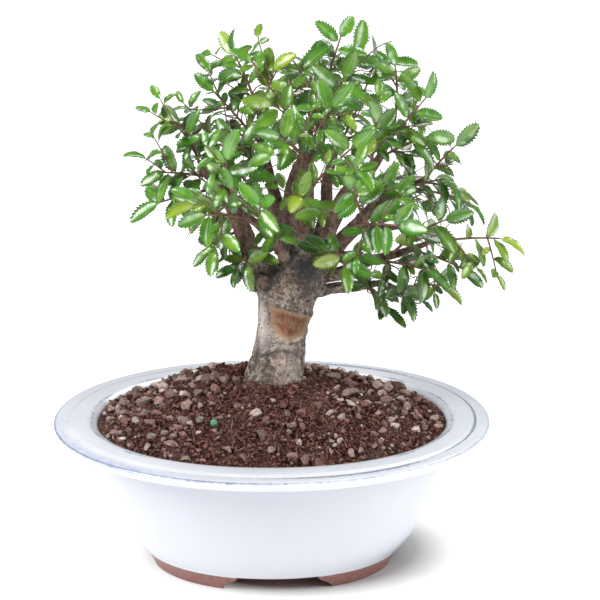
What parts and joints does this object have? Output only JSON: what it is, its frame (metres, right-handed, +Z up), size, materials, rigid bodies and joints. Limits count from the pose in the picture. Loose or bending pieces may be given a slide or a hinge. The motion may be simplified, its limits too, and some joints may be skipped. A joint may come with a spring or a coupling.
{
  "type": "potted chinese elm bonsai",
  "caption": "Miniature elm tree with a leaning trunk, spreading limbs and toothed leaves, rooted in mounded soil in an oval glazed pot on four feet.",
  "frame": {"origin": "middle of the whole plant's bounding box, on the surface that the pot's feet stand on", "axes": "+Z up, +X to the right along the pot's long axis as the picture shows it, +Y to the back"},
  "size_m": [0.2484, 0.18, 0.2917],
  "materials": {
    "glaze": "gloss",
    "drain_mesh": "matte",
    "soil": "matte",
    "pellet": "satin",
    "bark": "matte",
    "leaf": "satin",
    "young_leaf": "satin"
  },
  "bodies": {
    "root": {"pot": "glaze", "drain_mesh_left": "drain_mesh", "drain_mesh_right": "drain_mesh", "soil": "soil", "fertiliser_pellet": "pellet", "trunk": "bark", "spray_left_1": "leaf", "spray_left_2": "leaf", "spray_left_3": "young_leaf", "spray_left_4": "leaf", "spray_left_5": "leaf", "spray_left_6": "leaf", "spray_front_left_1": "leaf", "spray_front_left_2": "leaf", "spray_front_left_3": "leaf", "spray_upright_1": "leaf", "spray_upright_2": "leaf", "spray_upright_3": "leaf", "spray_upright_4": "leaf", "spray_upright_5": "young_leaf", "spray_leader_1": "leaf", "spray_leader_2": "leaf", "spray_leader_3": "leaf", "spray_leader_4": "leaf", "spray_back_leader_1": "leaf", "spray_back_leader_2": "leaf", "spray_back_leader_3": "leaf", "spray_front_up_1": "young_leaf", "spray_front_up_2": "leaf", "spray_front_up_3": "leaf", "spray_front_up_4": "leaf", "spray_right_up_1": "leaf", "spray_right_up_2": "leaf", "spray_right_up_3": "leaf", "spray_right_up_4": "leaf", "spray_right_mid_1": "leaf", "spray_right_mid_2": "leaf", "spray_right_mid_3": "leaf", "spray_right_low_1": "leaf", "spray_right_low_2": "leaf", "spray_right_low_3": "leaf", "spray_right_low_4": "young_leaf", "spray_lowest_1": "leaf", "spray_lowest_2": "leaf", "spray_lowest_3": "leaf", "spray_front_right_1": "leaf", "spray_front_right_2": "leaf", "spray_front_right_3": "leaf", "spray_front_right_4": "leaf", "spray_right_back_1": "leaf", "spray_right_back_2": "leaf", "spray_back_left_1": "leaf", "spray_back_left_2": "leaf", "spray_back_right_1": "leaf", "spray_back_right_2": "leaf", "spray_back_mid_1": "leaf", "spray_back_mid_2": "young_leaf", "spray_back_mid_3": "leaf"}
  },
  "joints": []
}
